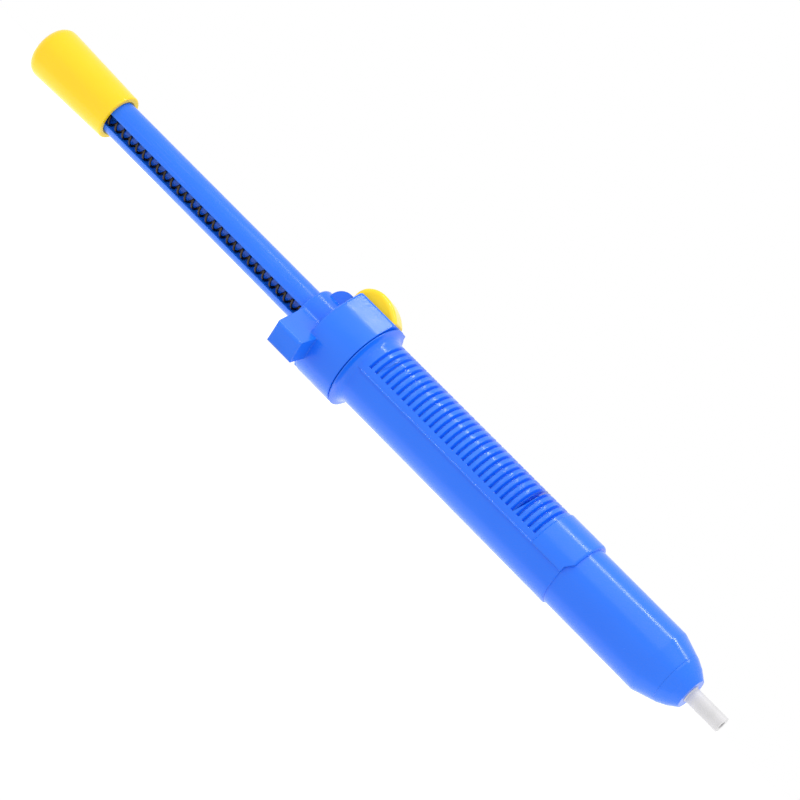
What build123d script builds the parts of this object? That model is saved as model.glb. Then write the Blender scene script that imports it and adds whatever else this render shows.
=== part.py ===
"""Spring desoldering pump: a ribbed barrel, a slotted plunger with its spring in the slot, and a
thumb-released latch in a rear collar.  Units are millimetres.

Everything is modelled about the pump's own axis: X runs along it towards the nozzle, with x = 0 at
the joint between collar and barrel, and Z points up through the release button.  place() then moves
each finished piece into the shared frame, whose origin is the middle of the bounding box's base.
"""
from build123d import *
import math
import os

# ---- overall lengths along the axis -------------------------------------------------------------
barrel_length = 158.1        # joint face to the mouth of the nose
collar_length = 30.1         # joint face back to the rear of the neck
knob_end = 178.6             # joint face back to the end of the knob, pump fired
stroke = 103.0               # how far the plunger travels to cock the pump
nozzle_reach = 22.7          # how far the nozzle tip stands out of the barrel's mouth

# ---- barrel -------------------------------------------------------------------------------------
bore_r = 11.5
tube_wall = 1.875            # wall of the plain front barrel
grip_wall = 2.5              # wall of the grip's smooth underside
panel_rise = 0.3             # the ribbed panel over the button side stands this proud of the grip
panel_edge_deg = -8.0        # where the panel ends, below the horizontal, on both sides
band_proud = 0.8             # smooth band ahead of the ribs, over the grip
band_start = 92.2
grip_end = 106.7             # front edge of the grip's underside
band_end = 108.9             # front edge of the band, on the button side
band_slant = 3.0             # the slanted end of the band rises this far above the axis
bead_r = 0.35                # moulded bead along the panel's edge
flange_height = 3.85         # rear flange over the grip; the collar's ring shares its radius
flange_rim = 0.5             # axial length of the flange's full radius
flange_flare = 4.4           # axial length of the whole flare from the joint to the grip
cone_length = 8.2            # tapered nose
rib_pitch = 2.8
rib_count = 32
rib_start = 5.6
groove_width = 1.35
groove_depth = 1.35
groove_end_deg = 3.5         # where each groove ends, above the horizontal

grip_r = bore_r + grip_wall
tube_r = bore_r + tube_wall
panel_r = grip_r + panel_rise
band_r = grip_r + band_proud
flange_r = grip_r + flange_height
cone_start = barrel_length - cone_length

# ---- nozzle -------------------------------------------------------------------------------------
tube_outer_r = 3.175         # quarter-inch plastic tube
tube_bore_r = 1.5
tube_root_rise = 0.225       # thicker root that the plug grips
tube_root_taper = 0.5
seat_step = 2.15             # the mouth's seat is this much smaller than the bore
nose_wall = 1.35             # wall of the barrel at its mouth
spigot_length = 10.3
plug_cone_length = 7.7
plug_front_wall = 2.85       # plug's front face round the tube's root
boss_wall = 1.6
recess_wall = 1.8            # spigot's wall round the open recess
recess_depth = 6.0
lip = 0.9                    # thickness of the plug's flange lip
seal_band = 1.4              # raised band on the spigot

tube_root_r = tube_outer_r + tube_root_rise
seat_r = bore_r - seat_step
nose_r = seat_r + nose_wall
plug_front_r = tube_root_r + plug_front_wall

# ---- plunger ------------------------------------------------------------------------------------
shaft_r = 7.125
slot_width = 4.6
slot_depth = 4.625           # from the shaft's surface to the slot's round floor
slot_deg = 28.0              # slot direction, below the horizontal on the -Y side
knob_length = 42.4
knob_wall = 2.475            # knob's wall at its rim
knob_flare = 1.25            # the knob is this much wider at the back
knob_dome = 3.6              # height of the domed end
knob_corner = 4.2            # rounding between dome and side
knob_floor = 4.4             # solid end of the knob behind the shaft
notch_depth = 2.0
notch_length = 2.9
stud_step = 2.525            # the front end that carries the piston is this much thinner
stud_length = 18.0

slot_floor = shaft_r - slot_depth
knob_rim_r = shaft_r + knob_wall
knob_back_r = knob_rim_r + knob_flare
stud_r = shaft_r - stud_step

# ---- main spring --------------------------------------------------------------------------------
spring_gap = 0.15            # between the spring and each side of the slot
spring_wire = 0.9
spring_pitch = 3.7

spring_r = slot_width / 2 - spring_gap

# ---- piston -------------------------------------------------------------------------------------
spigot_of_collar = 14.0
bumper_length = 4.0
bumper_step = 1.1            # the bumper is this much smaller than the bore
piston_length = 22.0
ring_section = 2.4
ring_back_off = 5.0          # O-ring's middle behind the piston's front
washer_thickness = 1.0
washer_r = 6.5
screw_head_r = 3.5
screw_head = 2.2
screw_shank_r = 1.6
screw_length = 14.0

# ---- collar -------------------------------------------------------------------------------------
ring_length = 18.3
neck_wall = 2.775            # wall of the neck round the shaft
spigot_wall = 1.8            # thin rim at the spigot's front
wing_reach = 9.15            # how far the wings stand out of the ring
wing_width = 9.6
wing_lean = 3.7              # the wing's tip starts this far ahead of the neck's rear
wing_overlap = 4.0           # the wing runs this far on over the ring
wing_corner = 1.6
wing_blend = 3.0
wing_deg = 32.5              # below the horizontal, on both sides
peg_reach = 1.4              # the bayonet pegs stand this far out of the spigot
peg_deg = 15.0
peg_start = 1.5
peg_length = 2.4
twist = 30.0                 # turn that frees the collar's pegs
key_inset = 2.0              # the spring key starts this far inside the neck
key_length = 4.0

neck_r = shaft_r + neck_wall
peg_r = bore_r + peg_reach
wing_tip_r = flange_r + wing_reach
wing_rear = collar_length - wing_lean
wing_front = ring_length - wing_overlap

# ---- latch --------------------------------------------------------------------------------------
press = 2.0                  # button travel
button_length = 18.7
button_width = 12.0
button_rear_gap = 2.1        # the button's rear stands this far behind the ring's rear face
button_height = 5.05         # top of the arch above the ring
button_crown = 8.2           # the arch is highest this far ahead of the button's rear
button_heel = -1.65          # where the arch leaves the rear end, from the ring's radius
button_nose = 0.75           # where it meets the front end
button_foot = -2.85          # underside of the button
pocket_floor = -5.45         # floor of the collar's button pocket
stem_top = -0.25             # top of the latch plate's stem inside the button
shoulder_wall = 2.6          # two shoulders wall in the button
shoulder_drop = 0.15         # their flat top lies this far under the ring's crown
latch_back = 8.8             # latch plate's mid plane ahead of the button's rear
latch_thickness = 2.0
latch_cheek = 2.825          # plate on each side of its window
latch_bar = 4.6              # height of the bar under the shaft
latch_head = 3.0             # height of the bar over the shaft
stem_width = 7.0
tooth_side = 1.2             # the tooth starts this far beyond the pump's mid plane
latch_spring_r = 2.0
latch_spring_wire = 0.45
latch_spring_ahead = 5.6     # its axis lies this far ahead of the latch plate
latch_spring_pitch = 1.6
spring_seat_wall = 1.8       # wall left over the shaft under the latch spring

button_rear = ring_length + button_rear_gap
button_front = button_rear - button_length
latch_x = button_rear - latch_back
latch_spring_x = latch_x - latch_spring_ahead

# ---- clearances ---------------------------------------------------------------------------------
running = 0.05               # radial, between parts that slide or turn on each other
free = 0.35                  # between moving parts that never touch
touch = 0.01                 # between parts of one body that are pressed together

# ---- how finely round forms are drawn -----------------------------------------------------------
chords = 4                   # per rounded corner of a turned outline
dome_chords = 5              # over the knob's domed end
coil_steps = 8               # sections per turn of a spring
coil_sides = 4               # sides of a spring's wire

# ---- the frame ----------------------------------------------------------------------------------
tip_x = barrel_length + nozzle_reach
middle_x = (tip_x - knob_end) / 2
wing_low = (
    (wing_tip_r - wing_corner) * math.sin(math.radians(wing_deg))
    + (wing_width / 2 - wing_corner) * math.cos(math.radians(wing_deg)) + wing_corner
)
axis_height = max(wing_low, flange_r)

shaft_back = -(knob_end - knob_floor)
shaft_front = spigot_of_collar + bumper_length + stud_length
key_back = -collar_length + key_inset
spring_seat_z = shaft_r + spring_seat_wall
stem_z = flange_r + stem_top


def place(piece):
    """Move a piece from the pump's own axis to the shared frame."""
    return Pos(-middle_x, 0, axis_height) * piece


def eased(points, rounds):
    """The outline with each corner in rounds, given as (x, radius, size), rounded by a few chords."""
    sizes = {(x, r): size for x, r, size in rounds}
    outline = []
    for before, here, after in zip(points[-1:] + points[:-1], points, points[1:] + points[:1]):
        if here not in sizes:
            outline.append(here)
            continue
        size = sizes[here]
        corner = Vector(*here)
        back = (Vector(*before) - corner).normalized()
        ahead = (Vector(*after) - corner).normalized()
        half = math.radians(back.get_angle(ahead)) / 2
        centre = corner + (back + ahead).normalized() * (size / math.sin(half))
        first = corner + back * (size / math.tan(half)) - centre
        last = corner + ahead * (size / math.tan(half)) - centre
        for i in range(chords + 1):
            spoke = first * (1 - i / chords) + last * (i / chords)
            point = centre + spoke.normalized() * size
            outline.append((point.X, point.Y))
    return outline


def turned(points, rounds=()):
    """A solid of revolution about X from (x, radius) points; rounds holds (x, radius, size) corners."""
    outline = make_face(Polyline(*eased(points, rounds), close=True))
    return revolve(outline, Axis.X)


def rod(x_from, x_to, radius):
    """A round bar along X."""
    return Pos(x_from, 0, 0) * (Rot(0, 90, 0) * Cylinder(radius, x_to - x_from, align=(
        Align.CENTER, Align.CENTER, Align.MIN)))


def slab(x_from, x_to, y_from, y_to, z_from, z_to):
    """A box from its limits."""
    size = (x_to - x_from, y_to - y_from, z_to - z_from)
    centre = ((x_to + x_from) / 2, (y_to + y_from) / 2, (z_to + z_from) / 2)
    return Pos(*centre) * Box(*size)


def extruded_x(face, x_from, x_to):
    """Extrude a face drawn in the YZ plane from x_from to x_to."""
    return Pos(x_from, 0, 0) * extrude(Plane.YZ * face, x_to - x_from)


def sector(outer_r, from_deg, to_deg, x_from, x_to):
    """A pie slice round the axis; angles rise from the +Y side towards +Z."""
    steps = 8
    arc = [from_deg + (to_deg - from_deg) * i / steps for i in range(steps + 1)]
    reach = outer_r / math.cos(math.radians((to_deg - from_deg) / steps / 2))
    points = [(reach * math.cos(math.radians(a)), reach * math.sin(math.radians(a))) for a in arc]
    face = make_face(Polyline((0, 0), *points, close=True))
    return extruded_x(face, x_from, x_to) & rod(x_from, x_to, outer_r)


def coil(radius, wire, pitch, length):
    """A compression spring along +Z from z = 0, its wire in short mitred lengths so that it stays light."""
    mean_r = radius - wire / 2
    rise = length - wire
    steps = round(rise / pitch * coil_steps)
    line = []
    for i in range(steps + 2):
        turn = 2 * math.pi * rise / pitch * i / steps
        line.append(Vector(mean_r * math.cos(turn), mean_r * math.sin(turn), wire / 2 + rise * i / steps))
    start = Plane(origin=line[0], z_dir=line[1] - line[0])
    corners = [vertex.center() for vertex in (start * RegularPolygon(wire / 2, coil_sides)).vertices()]
    sections = [Face(Wire.make_polygon(corners))]
    for before, here, after in zip(line, line[1:], line[2:]):
        run = (here - before).normalized()
        mitre = run + (after - here).normalized()
        corners = [c + run * ((here - c).dot(mitre) / run.dot(mitre)) for c in corners]
        sections.append(Face(Wire.make_polygon(corners)))
    return loft(sections, ruled=True)


# ---- nozzle -------------------------------------------------------------------------------------
def nozzle_tube():
    """Heat-proof tube with a thicker root, pressed through the plug."""
    back = barrel_length - spigot_length + 1.0
    front = barrel_length + plug_cone_length
    tube = turned([
        (back, 0), (back, tube_root_r), (front, tube_root_r), (front + tube_root_taper, tube_outer_r),
        (tip_x, tube_outer_r), (tip_x, 0),
    ])
    return tube - rod(back, tip_x, tube_bore_r)


def nose_plug():
    """Snap-in nose: conical lip, spigot with a seal band, and a boss that grips the tube."""
    back = barrel_length - spigot_length
    front = barrel_length + plug_cone_length
    spigot_r = seat_r - free
    middle = (barrel_length + front) / 2
    plug = turned([
        (back, 0), (back, spigot_r - 0.9), (back + 0.9, spigot_r), (barrel_length - seal_band * 3, spigot_r),
        (barrel_length - seal_band * 2.5, seat_r - running), (barrel_length - seal_band * 1.5, seat_r - running),
        (barrel_length - seal_band, spigot_r), (barrel_length, spigot_r), (barrel_length, nose_r),
        (barrel_length + lip, nose_r - 0.25), (middle + 0.5, (nose_r + plug_front_r) / 2 + 0.25),
        (front, plug_front_r), (front, 0),
    ])
    recess = rod(back, back + recess_depth, spigot_r - recess_wall)
    recess = recess - rod(back, back + recess_depth, tube_root_r + boss_wall)
    return plug - recess - rod(back, front, tube_root_r + touch)


# ---- barrel -------------------------------------------------------------------------------------
def rib_grooves():
    """Transverse V grooves, turned into the button side of the grip."""
    floor_r = panel_r - groove_depth
    widening = groove_width / 2 / groove_depth
    profile = make_face(Polyline(
        (groove_width / 2, floor_r), (groove_width + widening, panel_r + 1), (-widening, panel_r + 1), close=True,
    ))
    groove = Rot(groove_end_deg, 0, 0) * revolve(profile, Axis.X, 180 - 2 * groove_end_deg)
    return [Pos(rib_start + i * rib_pitch, 0, 0) * groove for i in range(rib_count - 1)]


def bayonet_slots():
    """Two L-shaped slots inside the barrel's rear mouth for the collar's pegs."""
    depth_r = peg_r + free
    half = peg_deg / 2 + 1.5
    cuts = []
    for side in (0, 180):
        cuts.append(sector(depth_r, side + twist - half, side + twist + half, 0, peg_start + peg_length))
        cuts.append(
            sector(depth_r, side - half, side + twist + half, peg_start - free, peg_start + peg_length + free)
        )
    return cuts


def barrel():
    """One moulding: flange, ribbed grip, plain front barrel and coned nose, bored through."""
    skin = turned(
        [
            (0, 0), (0, flange_r - 0.3), (0.3, flange_r), (flange_rim, flange_r), (flange_rim + 0.9, grip_r),
            (grip_end, grip_r), (grip_end, tube_r), (cone_start, tube_r), (barrel_length, nose_r),
            (barrel_length, 0),
        ],
        rounds=[
            (flange_rim + 0.9, grip_r, flange_flare - flange_rim - 0.9), (grip_end, grip_r, 0.5),
            (cone_start, tube_r, 3.0),
        ],
    )
    panel = turned(
        [
            (2.4, 0), (2.4, panel_r), (band_start, panel_r), (band_start + 0.4, band_r), (band_end, band_r),
            (band_end, 0),
        ],
        rounds=[(band_end, band_r, 1.0)],
    )
    panel = panel & sector(band_r + 1, panel_edge_deg, 180 - panel_edge_deg, 0, band_end)
    for side in (0, 180):
        edge = panel_edge_deg if side == 0 else 180 - panel_edge_deg
        bead = Rot(edge, 0, 0) * (Pos(0, panel_r, 0) * rod(flange_flare, band_end, bead_r))
        panel = panel + bead
    # on the underside the band stops at the grip's front edge, and its end slants up between the two
    slant = Plane.XZ * make_face(Polyline(
        (grip_end, -band_r), (grip_end, 0), (band_end, band_slant), (band_end + 1, band_slant),
        (band_end + 1, -band_r), close=True,
    ))
    panel = panel - extrude(slant, band_r + 1, both=True)
    inside = turned([
        (0, 0), (0, bore_r + 0.5), (0.5, bore_r), (barrel_length - spigot_length - 0.2 - seat_step, bore_r),
        (barrel_length - spigot_length - 0.2, seat_r), (barrel_length, seat_r), (barrel_length, 0),
    ])
    return (skin + panel) - rib_grooves() - inside - bayonet_slots()


# ---- collar -------------------------------------------------------------------------------------
def wing(side):
    """One anti-roll wing, blended into the neck; side is -1 for the -Y one and 1 for the +Y one."""
    plank = Pos(wing_tip_r / 2, 0) * Rectangle(wing_tip_r, wing_width)
    plank = fillet(plank.vertices().sort_by(Axis.X)[-2:], wing_corner)
    outline = Circle(neck_r - 0.2) + plank
    roots = outline.vertices().filter_by(lambda v: v.X < neck_r + 1)
    outline = fillet(roots, wing_blend) - Pos(-neck_r + 3, 0) * Rectangle(2 * neck_r, 3 * neck_r)
    bar = extruded_x(outline, -collar_length + 1.4, -wing_front)
    # the rear edge leans forward from the neck's rear to the tip
    side_view = make_face(Polyline(
        (-collar_length + 1.4, -neck_r - 1), (-collar_length + 1.4, neck_r - 1), (-wing_rear, wing_tip_r),
        (-wing_front, wing_tip_r), (-wing_front, -neck_r - 1), close=True,
    ))
    side_view = fillet(side_view.vertices().sort_by(Axis.Y)[-2:], 1.2)
    bar = bar & extrude(side_view, neck_r + 1, both=True)
    return Rot(-wing_deg if side > 0 else 180 + wing_deg, 0, 0) * bar


def shoulders():
    """Flat-topped block over the ring, tangent to it, that walls in the button."""
    half = button_width / 2 + shoulder_wall
    top = flange_r - shoulder_drop
    tangent = math.atan2(top, half) - math.acos(flange_r / math.hypot(half, top))
    y = flange_r * math.cos(tangent)
    z = flange_r * math.sin(tangent)
    outline = make_face(Polyline(
        (-y, z), (-half, top), (half, top), (y, z), close=True,
    ))
    outline = fillet(outline.vertices().sort_by(Axis.Y)[-2:], 1.6)
    block = extruded_x(outline, -ring_length, -0.4)
    rear_edges = block.faces().sort_by(Axis.X)[0].edges().filter_by(lambda e: e.center().Z > z + 0.1)
    return fillet(rear_edges, 1.2)


def collar():
    """Rear housing: neck, ring with the button pocket, wings, spring key and bayonet spigot."""
    shell = turned(
        [
            (-collar_length, 0), (-collar_length, neck_r), (-ring_length, neck_r), (-ring_length, flange_r),
            (-0.3, flange_r), (-0.3, bore_r - running), (spigot_of_collar, bore_r - running),
            (spigot_of_collar, 0),
        ],
        rounds=[
            (-collar_length, neck_r, 1.2), (-ring_length, neck_r, 2.0), (-ring_length, flange_r, 1.4),
            (-0.3, flange_r, 0.5), (spigot_of_collar, bore_r - running, 0.8),
        ],
    )
    body = shell + wing(-1) + wing(1) + shoulders() + button_guard()
    for side in (0, 180):
        peg = sector(peg_r, side - peg_deg / 2, side + peg_deg / 2, peg_start, peg_start + peg_length)
        body = body + peg
    body = body - rod(-collar_length - 1, spigot_of_collar + 1, shaft_r + running)
    # the front of the spigot is cored out so that the bumper lands on a thin rim
    core = rod(3.0, spigot_of_collar + 1, bore_r - spigot_wall)
    body = body - (core - rod(3.0, spigot_of_collar + 1, shaft_r + spigot_wall))
    body = body + spring_key()
    # slot for the latch plate, from the button pocket down past the shaft
    plate_half = latch_thickness / 2 + 0.1
    plate_side = shaft_r + free + latch_cheek + 0.1
    plate_low = -(shaft_r + free + latch_bar + press + free)
    floor_z = flange_r + pocket_floor
    slot_back = -latch_x - plate_half
    slot_front = -latch_x + plate_half
    body = body - slab(slot_back, slot_front, -plate_side, plate_side, plate_low, floor_z + 0.1)
    body = body - slab(slot_back, slot_front, -button_width / 2, button_width / 2, floor_z, flange_r + 1)
    pocket_half = button_width / 2 + free
    body = body - slab(
        -button_rear - free, -button_front + free, -pocket_half, pocket_half, floor_z, flange_r + 4
    )
    spring_seat = Pos(-latch_spring_x, 0, spring_seat_z) * Cylinder(
        latch_spring_r + free, flange_r, align=(Align.CENTER, Align.CENTER, Align.MIN)
    )
    return body - spring_seat


def button_guard():
    """Quarter-round rib on the neck that guards the rear edge of the button."""
    front = -(button_rear + free)
    back = front - 6.25
    top = neck_r + 4.5
    with BuildSketch(Plane.XZ) as profile:
        with BuildLine():
            Polyline((front, neck_r - 2), (front, top), (front - 0.8, top))
            ThreePointArc((front - 0.8, top), (back + 2.0, top - 1.3), (back, neck_r - 0.3))
            Polyline((back, neck_r - 0.3), (back, neck_r - 2), (front, neck_r - 2))
        make_face()
    rib = extrude(profile.sketch, 4.2, both=True)
    return rib - rod(back - 1, front + 1, neck_r - 1.5)


def spring_key():
    """Lug in the neck that stands in the plunger's slot and stops the spring's front end."""
    half = slot_width / 2 - free
    slot_centre = slot_floor + slot_width / 2
    lug = slab(key_back, key_back + key_length, -half, half, slot_centre, neck_r - 0.5)
    lug = lug + Pos(0, 0, slot_centre) * rod(key_back, key_back + key_length, half)
    return Rot(90 + slot_deg, 0, 0) * lug


# ---- latch --------------------------------------------------------------------------------------
def latch_plate():
    """Flat steel plate with a window for the shaft and a tooth on its far lower side."""
    window_half = shaft_r + free
    sill = -(shaft_r + free)
    low = sill - latch_bar
    lintel = shaft_r + press + free
    top = lintel + latch_head
    outline = Pos(0, (low + top) / 2) * Rectangle(2 * (window_half + latch_cheek), top - low)
    outline = fillet(outline.vertices(), 1.5)
    stem = Pos(0, (lintel + stem_z) / 2) * Rectangle(stem_width, stem_z - lintel)
    window = Pos(0, (lintel + sill) / 2) * Rectangle(2 * window_half, lintel - sill)
    window = fillet(window.vertices(), 1.0)
    # the near half of the sill is cut back so that only the far half, the tooth, enters the notch
    relief_width = window_half + tooth_side
    relief = Pos(tooth_side - relief_width / 2, sill - press / 2) * Rectangle(relief_width, press + 2 * free)
    plate = outline + stem - window - relief
    return extruded_x(plate, -latch_x - latch_thickness / 2, -latch_x + latch_thickness / 2)


def release_button():
    """Arched thumb pad, hollow underneath, sitting on the latch plate's stem."""
    foot_z = flange_r + button_foot
    heel_z = flange_r + button_heel
    nose_z = flange_r + button_nose
    top_z = flange_r + button_height
    crown_x = -button_rear + button_crown
    ceiling = stem_z + 0.2
    with BuildSketch(Plane.XZ) as side_view:
        with BuildLine():
            Polyline(
                (-button_front, nose_z), (-button_front, foot_z), (-button_rear, foot_z), (-button_rear, heel_z)
            )
            EllipticalCenterArc(
                (crown_x, heel_z), button_crown, top_z - heel_z, start_angle=90, arc_size=90
            )
            TangentArc((crown_x, top_z), (-button_front, nose_z), tangent=(1, 0))
        make_face()
    pad = extrude(side_view.sketch, button_width / 2, both=True)
    top_edges = [
        e for e in pad.edges()
        if abs(abs(e.center().Y) - button_width / 2) < 0.01 and e.center().Z > nose_z and e.length > 5
    ]
    pad = fillet(top_edges, 2.0)
    wall = 1.6
    hollow = slab(
        -button_rear + wall, -button_front - wall, -button_width / 2 + wall, button_width / 2 - wall,
        foot_z - 1, ceiling,
    )
    socket_half = latch_thickness / 2 + touch
    stem_half = stem_width / 2 + touch
    socket = slab(-latch_x - socket_half, -latch_x + socket_half, -stem_half, stem_half, foot_z, stem_z + touch)
    post = slab(-latch_x - 2.6, -latch_x + 2.6, -button_width / 2, button_width / 2, foot_z, ceiling + 0.1)
    post = post & pad
    spring_hole = Pos(-latch_spring_x, 0, foot_z - 1) * Cylinder(
        latch_spring_r + free, ceiling - foot_z + 1, align=(Align.CENTER, Align.CENTER, Align.MIN)
    )
    return pad - hollow + post - socket - spring_hole


def latch_spring():
    """Small compression spring that lifts the button."""
    height = stem_z + 0.2 - spring_seat_z
    return Pos(-latch_spring_x, 0, spring_seat_z) * coil(
        latch_spring_r, latch_spring_wire, latch_spring_pitch, height
    )


# ---- plunger ------------------------------------------------------------------------------------
def plunger_shaft():
    """Moulded rod with a round-bottomed slot for the spring and a notch for the latch."""
    body_front = shaft_front - stud_length
    rod_part = rod(shaft_back, body_front, shaft_r) + rod(body_front, shaft_front, stud_r)
    slot_end = key_back + key_length + free
    slot = slab(shaft_back, slot_end, -slot_width / 2, slot_width / 2, slot_floor + slot_width / 2, shaft_r + 1)
    slot = slot + Pos(0, 0, slot_floor + slot_width / 2) * rod(shaft_back, slot_end, slot_width / 2)
    slot = Rot(90 + slot_deg, 0, 0) * slot
    notch_x = -latch_x - stroke
    notch = slab(
        notch_x - notch_length / 2, notch_x + notch_length / 2, tooth_side - free, shaft_r + 1,
        -shaft_r - 1, -shaft_r + notch_depth,
    )
    pilot = rod(shaft_front - screw_length, shaft_front, screw_shank_r + touch)
    return rod_part - slot - notch - pilot


def knob():
    """Tapered push knob with a gently domed end, bored to take the shaft."""
    rim = -(knob_end - knob_length)
    dome_r = (knob_dome**2 + knob_back_r**2) / (2 * knob_dome)
    spread = math.asin(knob_back_r / dome_r)
    dome = []
    for i in range(dome_chords):
        a = spread * i / dome_chords
        dome.append((-knob_end + dome_r * (1 - math.cos(a)), dome_r * math.sin(a)))
    edge = (-knob_end + knob_dome, knob_back_r)
    grip = turned(
        [*dome, edge, (rim, knob_rim_r), (rim, 0)],
        rounds=[(*edge, knob_corner), (rim, knob_rim_r, 0.6)],
    )
    mouth = turned([(rim - 0.6, 0), (rim - 0.6, shaft_r + touch), (rim, shaft_r + 0.6), (rim, 0)])
    return grip - rod(shaft_back, rim, shaft_r + touch) - mouth


def main_spring():
    """Long spring lying in the shaft's slot, from the knob's floor to the collar's key."""
    wound = coil(spring_r, spring_wire, spring_pitch, key_back - shaft_back)
    lying = Pos(shaft_back, 0, slot_floor + slot_width / 2) * (Rot(0, 90, 0) * wound)
    return Rot(90 + slot_deg, 0, 0) * lying


# ---- piston -------------------------------------------------------------------------------------
def piston_seat():
    return spigot_of_collar + bumper_length


def bumper():
    """Rubber ring that takes the blow when the pump fires."""
    bumper_r = bore_r - bumper_step
    ring = turned([
        (spigot_of_collar + touch, 0), (spigot_of_collar + touch, bumper_r - 0.6),
        (spigot_of_collar + 0.8, bumper_r), (piston_seat() - 0.8, bumper_r),
        (piston_seat() - touch, bumper_r - 0.6), (piston_seat() - touch, 0),
    ])
    return ring - rod(spigot_of_collar - 1, piston_seat() + 1, shaft_r + touch)


def piston_head():
    """Spool with two guide lands and a groove for the O-ring."""
    back = piston_seat()
    front = back + piston_length
    land = bore_r - running
    waist = bore_r - 2.6
    groove_half = ring_section / 2 + 0.15
    groove_mid = front - ring_back_off
    groove_r = bore_r - ring_section - 0.05
    spool = turned([
        (back, 0), (back, land - 0.6), (back + 0.6, land), (back + 4.0, land), (back + 5.2, waist),
        (front - 10.4, waist), (front - 9.2, land), (groove_mid - groove_half, land),
        (groove_mid - groove_half, groove_r), (groove_mid + groove_half, groove_r),
        (groove_mid + groove_half, land), (front - 0.7, land), (front, land - 0.7), (front, 0),
    ])
    return spool - rod(back, shaft_front, stud_r + touch) - rod(back, front, screw_shank_r + 0.4)


def piston_o_ring():
    """Rubber ring that seals the piston to the barrel, its round section faceted."""
    middle = piston_seat() + piston_length - ring_back_off
    section = Pos(middle, bore_r - ring_section / 2 - 0.03) * RegularPolygon(ring_section / 2, 8, rotation=22.5)
    return revolve(section, Axis.X)


def piston_washer():
    """Steel washer under the piston screw."""
    face = piston_seat() + piston_length
    hole = rod(face, face + washer_thickness, screw_shank_r + 0.3)
    return rod(face, face + washer_thickness, washer_r) - hole


def piston_screw():
    """Pan-head screw that holds the piston on the shaft."""
    face = piston_seat() + piston_length + washer_thickness
    head = turned([
        (face, 0), (face, screw_head_r), (face + screw_head * 0.45, screw_head_r),
        (face + screw_head * 0.85, screw_head_r * 0.72), (face + screw_head, screw_head_r * 0.4),
        (face + screw_head, 0),
    ])
    tip = shaft_front - screw_length + 1.0
    shank = turned([(tip, 0), (tip, 0.3), (tip + 1.6, screw_shank_r), (face, screw_shank_r), (face, 0)])
    cross = slab(face + 0.9, face + 3, -0.45, 0.45, -2.0, 2.0)
    cross = cross + slab(face + 0.9, face + 3, -2.0, 2.0, -0.45, 0.45)
    return head + shank - cross


PIECES = {
    "nozzle_tube": nozzle_tube,
    "nose_plug": nose_plug,
    "barrel": barrel,
    "collar": collar,
    "release_button": release_button,
    "latch_plate": latch_plate,
    "latch_spring": latch_spring,
    "plunger_shaft": plunger_shaft,
    "knob": knob,
    "main_spring": main_spring,
    "bumper": bumper,
    "piston_head": piston_head,
    "piston_o_ring": piston_o_ring,
    "piston_washer": piston_washer,
    "piston_screw": piston_screw,
}

os.makedirs("parts", exist_ok=True)
for name, make in PIECES.items():
    export_step(place(make()), f"parts/{name}.step")
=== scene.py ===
"""Looks for the desoldering pump: procedural plastics and steel, a wound main spring, and the light table."""
import math

import bmesh
import bpy
from mathutils import Matrix, Vector


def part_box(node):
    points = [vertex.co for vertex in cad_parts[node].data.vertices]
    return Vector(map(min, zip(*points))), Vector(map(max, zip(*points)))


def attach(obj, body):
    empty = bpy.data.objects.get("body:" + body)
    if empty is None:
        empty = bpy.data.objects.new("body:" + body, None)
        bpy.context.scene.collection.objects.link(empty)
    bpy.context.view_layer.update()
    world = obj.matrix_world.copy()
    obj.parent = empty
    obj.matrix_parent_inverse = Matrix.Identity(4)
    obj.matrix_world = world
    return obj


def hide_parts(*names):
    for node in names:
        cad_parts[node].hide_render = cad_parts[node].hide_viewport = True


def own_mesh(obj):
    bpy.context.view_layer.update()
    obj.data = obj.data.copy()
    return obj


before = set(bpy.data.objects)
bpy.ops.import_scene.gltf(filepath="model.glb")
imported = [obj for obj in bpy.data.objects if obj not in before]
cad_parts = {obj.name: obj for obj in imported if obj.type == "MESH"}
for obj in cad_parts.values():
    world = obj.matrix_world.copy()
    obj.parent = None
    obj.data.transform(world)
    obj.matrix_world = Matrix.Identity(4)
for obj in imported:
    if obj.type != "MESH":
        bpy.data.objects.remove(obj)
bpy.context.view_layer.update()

# ---- places in the shared frame, in metres ------------------------------------------------------
shaft_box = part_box("plunger_shaft")
axis_z = (shaft_box[0].z + shaft_box[1].z) / 2

# ---- softening and relief, in metres ------------------------------------------------------------
EDGE_RADIUS = 0.0004         # sharp edges of the plastics are shaded as if rounded to this
EDGE_SAMPLES = 6
SKIN_RELIEF = 0.0002         # fine skin of the moulded plastic
WIRE_RELIEF = 0.0001
RUBBER_RELIEF = 0.0003

# ---- node material helpers ----------------------------------------------------------------------
def new_material(name):
    mat = bpy.data.materials.new(name)
    mat.use_nodes = True
    tree = mat.node_tree
    shader = tree.nodes["Principled BSDF"]
    return mat, tree, shader


def add(tree, kind, **inputs):
    node = tree.nodes.new(kind)
    for key, value in inputs.items():
        node.inputs[key.replace("_", " ")].default_value = value
    return node


def coords(tree, scale=(1, 1, 1)):
    """Object coordinates, scaled: metres in the row frame."""
    place = tree.nodes.new("ShaderNodeTexCoord")
    mapping = tree.nodes.new("ShaderNodeMapping")
    mapping.inputs["Scale"].default_value = scale
    tree.links.new(place.outputs["Object"], mapping.inputs["Vector"])
    return mapping.outputs["Vector"]


def noise(tree, scale, detail=4.0, rough=0.5, stretch=(1, 1, 1)):
    node = add(tree, "ShaderNodeTexNoise", Scale=scale, Detail=detail, Roughness=rough)
    tree.links.new(coords(tree, stretch), node.inputs["Vector"])
    return node.outputs["Fac"]


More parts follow.
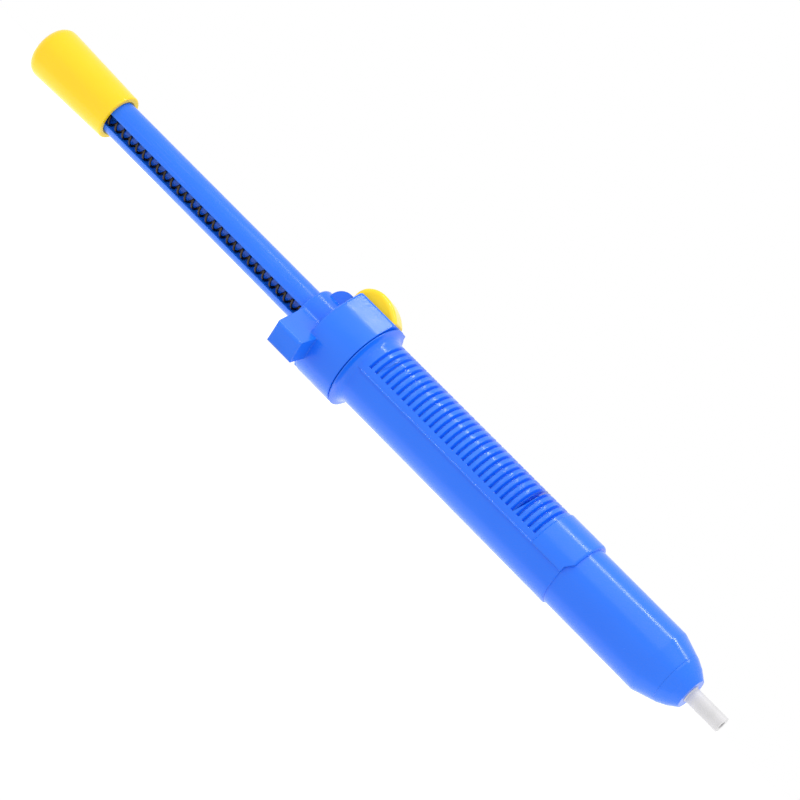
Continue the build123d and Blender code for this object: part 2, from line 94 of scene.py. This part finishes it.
def ramp(tree, value, low, high, out_low, out_high):
    node = tree.nodes.new("ShaderNodeMapRange")
    node.inputs["From Min"].default_value = low
    node.inputs["From Max"].default_value = high
    node.inputs["To Min"].default_value = out_low
    node.inputs["To Max"].default_value = out_high
    tree.links.new(value, node.inputs["Value"])
    return node.outputs["Result"]


def mix_colour(tree, factor, first, second):
    node = tree.nodes.new("ShaderNodeMix")
    node.data_type = "RGBA"
    sockets = {s.identifier: s for s in node.inputs}
    tree.links.new(factor, sockets["Factor_Float"])
    for key, value in (("A_Color", first), ("B_Color", second)):
        if isinstance(value, tuple):
            sockets[key].default_value = (*value, 1)
        else:
            tree.links.new(value, sockets[key])
    return [s for s in node.outputs if s.identifier == "Result_Color"][0]


def bump(tree, shader, height, strength, distance, edge=None):
    """Relief from a height value; edge is the radius that every sharp edge is softened to."""
    node = add(tree, "ShaderNodeBump", Strength=strength, Distance=distance)
    tree.links.new(height, node.inputs["Height"])
    if edge:
        soft = tree.nodes.new("ShaderNodeBevel")
        soft.samples = EDGE_SAMPLES
        soft.inputs["Radius"].default_value = edge
        tree.links.new(soft.outputs["Normal"], node.inputs["Normal"])
    tree.links.new(node.outputs["Normal"], shader.inputs["Normal"])


def moulded_plastic(name, colour, deep, rough, scuff_axis=None):
    """Glossy moulded plastic: faint flow marks, a fine skin, handling haze and hairline scuffs."""
    mat, tree, shader = new_material(name)
    flow = noise(tree, 35.0, detail=3.0, stretch=(0.35, 1, 1))
    base = mix_colour(tree, ramp(tree, flow, 0.35, 0.7, 0.0, 1.0), colour, deep)
    haze = noise(tree, 140.0, detail=6.0, rough=0.65)
    polish = ramp(tree, haze, 0.35, 0.75, rough, rough + 0.13)
    if scuff_axis:
        stretch = tuple(0.02 if i == scuff_axis - 1 else 1.0 for i in range(3))
        hair = noise(tree, 2600.0, detail=2.0, stretch=stretch)
        lines = ramp(tree, hair, 0.62, 0.72, 0.0, 1.0)
        pale = tuple(min(1.0, c * 0.75 + 0.12) for c in colour)
        base = mix_colour(tree, ramp(tree, lines, 0.0, 1.0, 0.0, 0.3), base, pale)
    tree.links.new(base, shader.inputs["Base Color"])
    tree.links.new(polish, shader.inputs["Roughness"])
    skin = noise(tree, 900.0, detail=3.0)
    bump(tree, shader, skin, 0.08, SKIN_RELIEF, edge=EDGE_RADIUS)
    shader.inputs["IOR"].default_value = 1.5
    shader.inputs["Specular IOR Level"].default_value = 0.5
    return mat


def steel_wire(name, colour, rough):
    """Drawn steel: fine lines, oil darkening and warm glints."""
    mat, tree, shader = new_material(name)
    stain = noise(tree, 700.0, detail=5.0)
    oiled = tuple(c * 0.55 for c in colour)
    base = mix_colour(tree, ramp(tree, stain, 0.35, 0.7, 0.0, 1.0), colour, oiled)
    tree.links.new(base, shader.inputs["Base Color"])
    polish = ramp(tree, noise(tree, 1800.0), 0.3, 0.7, rough, rough + 0.2)
    tree.links.new(polish, shader.inputs["Roughness"])
    bump(tree, shader, noise(tree, 5000.0, detail=2.0), 0.15, WIRE_RELIEF)
    shader.inputs["Metallic"].default_value = 1.0
    return mat


def rubber(name):
    """Dull black rubber with a little dust on it."""
    mat, tree, shader = new_material(name)
    dust = noise(tree, 260.0, detail=6.0)
    base = mix_colour(tree, ramp(tree, dust, 0.45, 0.8, 0.0, 1.0), RUBBER, RUBBER_DUSTY)
    tree.links.new(base, shader.inputs["Base Color"])
    tree.links.new(ramp(tree, dust, 0.3, 0.8, 0.55, 0.8), shader.inputs["Roughness"])
    bump(tree, shader, noise(tree, 1200.0), 0.25, RUBBER_RELIEF)
    return mat


def waxy_white(name):
    """Heat-proof fluoropolymer: soft and cloudy, with faint tool marks round it."""
    mat, tree, shader = new_material(name)
    cloud = noise(tree, 220.0, detail=4.0)
    base = mix_colour(tree, ramp(tree, cloud, 0.35, 0.7, 0.0, 1.0), WAXY, WAXY_CLOUDED)
    tree.links.new(base, shader.inputs["Base Color"])
    tree.links.new(ramp(tree, cloud, 0.3, 0.7, 0.34, 0.5), shader.inputs["Roughness"])
    bump(tree, shader, noise(tree, 1500.0, stretch=(6, 1, 1)), 0.12, SKIN_RELIEF)
    return mat


BLUE = (0.008, 0.165, 0.88)
BLUE_DEEP = (0.006, 0.145, 0.84)
YELLOW = (0.93, 0.63, 0.002)
YELLOW_DEEP = (0.92, 0.59, 0.001)
WAXY = (0.62, 0.61, 0.62)
WAXY_CLOUDED = (0.56, 0.555, 0.56)
RUBBER = (0.018, 0.018, 0.02)
RUBBER_DUSTY = (0.07, 0.07, 0.07)
SPRING_WIRE = (0.085, 0.068, 0.052)
PLATED = (0.62, 0.61, 0.58)

blue = moulded_plastic("blue_plastic_moulded", BLUE, BLUE_DEEP, 0.16)
blue_shaft = moulded_plastic("blue_plastic_sliding", BLUE, BLUE_DEEP, 0.2, scuff_axis=1)
yellow = moulded_plastic("yellow_plastic_moulded", YELLOW, YELLOW_DEEP, 0.15)
white = waxy_white("white_tube")
spring_wire = steel_wire("spring_wire", SPRING_WIRE, 0.26)
plated = steel_wire("plated_steel", PLATED, 0.3)
black_rubber = rubber("black_rubber")

FINISH = {
    "barrel": blue,
    "collar": blue,
    "nose_plug": blue,
    "plunger_shaft": blue_shaft,
    "knob": yellow,
    "release_button": yellow,
    "nozzle_tube": white,
    "piston_head": white,
    "latch_plate": plated,
    "piston_washer": plated,
    "piston_screw": plated,
    "bumper": black_rubber,
    "piston_o_ring": black_rubber,
    "latch_spring": spring_wire,
    "main_spring": spring_wire,
}
for name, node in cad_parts.items():
    node.data.materials.clear()
    node.data.materials.append(FINISH[name])

# ---- main spring, in metres ---------------------------------------------------------------------
WIRE_R = 0.00048
COIL_R = 0.0022              # outside radius of the winding
PITCH = 0.0037
SEAT_SHIFT = 0.00012         # the spring lies this much further out than the CAD coil it replaces


def wound_wire(name, length, mean_r, wire_r, turns, closed_turns=1.5, sides=10, steps=28):
    """A compression spring along +Z with closed end turns, as a mesh tube."""
    total = int(turns * steps)
    wire = 2 * wire_r * 1.02
    rise = []
    height = wire_r
    open_turns = turns - 2 * closed_turns
    open_pitch = (length - 2 * wire_r - 2 * closed_turns * wire) / open_turns
    for i in range(total + 1):
        rise.append(height)
        turn = i / steps
        near_end = turn < closed_turns or turn > turns - closed_turns
        height += (wire if near_end else open_pitch) / steps
    mesh = bmesh.new()
    rings = []
    for i, z in enumerate(rise):
        angle = 2 * math.pi * i / steps
        outward = Vector((math.cos(angle), math.sin(angle), 0))
        ring = []
        for k in range(sides):
            a = 2 * math.pi * k / sides
            offset = outward * (math.cos(a) * wire_r) + Vector((0, 0, math.sin(a) * wire_r))
            ring.append(mesh.verts.new(outward * mean_r + Vector((0, 0, z)) + offset))
        rings.append(ring)
    for first, second in zip(rings, rings[1:]):
        for k in range(sides):
            after = (k + 1) % sides
            mesh.faces.new((first[k], second[k], second[after], first[after]))
    mesh.faces.new(rings[0])
    mesh.faces.new(list(reversed(rings[-1])))
    bmesh.ops.recalc_face_normals(mesh, faces=mesh.faces[:])
    for face in mesh.faces:
        face.smooth = True
    data = bpy.data.meshes.new(name)
    mesh.to_mesh(data)
    mesh.free()
    obj = bpy.data.objects.new(name, data)
    bpy.context.scene.collection.objects.link(obj)
    return obj


def lay_spring():
    """The long spring in the plunger's slot, hung on the collar."""
    low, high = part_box("main_spring")
    middle = (low + high) / 2
    length = high.x - low.x
    outward = Vector((0, middle.y, middle.z - axis_z)).normalized()
    seat = Vector((low.x, middle.y, middle.z)) + outward * SEAT_SHIFT
    obj = wound_wire("main_spring_wire", length, COIL_R - WIRE_R, WIRE_R, length / PITCH)
    obj.data.transform(Matrix.Translation(seat) @ Matrix.Rotation(math.pi / 2, 4, "Y"))
    obj.data.materials.append(spring_wire)
    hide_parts("main_spring")
    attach(obj, "collar")
    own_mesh(obj)


lay_spring()

# ---- floor, light and camera --------------------------------------------------------------------
FRONT_GLOW = 0.95            # strength of the ground's own light in front of the pump
BACK_GLOW = 1.35             # and under and behind it
GLOW_FROM_Y, GLOW_TO_Y = -0.013, -0.010
GROUND_REACH = 6.0
GROUND_GREY = (0.09, 0.09, 0.09, 1)
WHITE = (1, 1, 1, 1)


def light_table():
    """A white ground that shines by itself, brighter under and behind the pump than in front."""
    mesh = bpy.data.meshes.new("floor")
    corners = [(x * GROUND_REACH, y * GROUND_REACH, 0) for x, y in ((-1, -1), (1, -1), (1, 1), (-1, 1))]
    mesh.from_pydata(corners, [], [(0, 1, 2, 3)])
    floor = bpy.data.objects.new("floor", mesh)
    bpy.context.scene.collection.objects.link(floor)
    mat, tree, shader = new_material("light_table")
    split = tree.nodes.new("ShaderNodeSeparateXYZ")
    tree.links.new(coords(tree), split.inputs["Vector"])
    glow = ramp(tree, split.outputs["Y"], GLOW_FROM_Y, GLOW_TO_Y, FRONT_GLOW, BACK_GLOW)
    shader.inputs["Base Color"].default_value = GROUND_GREY
    shader.inputs["Specular IOR Level"].default_value = 0.0
    shader.inputs["Roughness"].default_value = 1.0
    shader.inputs["Emission Color"].default_value = WHITE
    tree.links.new(glow, shader.inputs["Emission Strength"])
    mesh.materials.append(mat)


def area_light(name, place, target, size, power):
    data = bpy.data.lights.new(name, "AREA")
    data.shape = "RECTANGLE"
    data.size, data.size_y = size
    data.energy = power
    lamp = bpy.data.objects.new(name, data)
    bpy.context.scene.collection.objects.link(lamp)
    lamp.location = place
    lamp.rotation_mode = "QUATERNION"
    lamp.rotation_quaternion = (Vector(target) - Vector(place)).to_track_quat("-Z", "Y")


light_table()
world = bpy.data.worlds.new("studio")
bpy.context.scene.world = world
world.use_nodes = True
world.node_tree.nodes["Background"].inputs["Color"].default_value = WHITE
world.node_tree.nodes["Background"].inputs["Strength"].default_value = 1.0

# A broad soft light from in front and above, and a long thin strip over the pump that draws the line
# of light along the upper side of the barrel.
area_light("key", (0.1, -1.2, 1.4), (0, 0, axis_z), (1.5, 1.5), 5.5)
area_light("strip", (0.05, -0.10, 0.9), (0.02, 0, axis_z), (0.9, 0.018), 2.6)

# The camera looks from the side, a little from the nozzle's end, rolled so the pump lies across
# the picture from upper left to lower right.
tilt = math.radians(18.0)
roll = math.radians(45.2)
distance = 1.171
toward = Vector((math.sin(tilt), -math.cos(tilt), 0))
along = Vector((math.cos(tilt), math.sin(tilt), 0))
up = Vector((0, 0, 1))
aim = Vector((0.0073, 0, axis_z)) + along * 0.0090 + up * 0.0003
image_up = up * math.cos(roll) - along * math.sin(roll)
image_right = along * math.cos(roll) + up * math.sin(roll)

lens = bpy.data.cameras.new("camera")
lens.lens = 148.5
lens.sensor_width = 36.0
lens.clip_start, lens.clip_end = 0.01, 50.0
camera = bpy.data.objects.new("camera", lens)
bpy.context.scene.collection.objects.link(camera)
turn = Matrix((image_right, image_up, toward)).transposed().to_4x4()
camera.matrix_world = Matrix.Translation(aim + toward * distance) @ turn
bpy.context.scene.camera = camera

bpy.context.scene.view_settings.view_transform = "Standard"
bpy.context.scene.view_settings.look = "None"

bpy.context.view_layer.update()
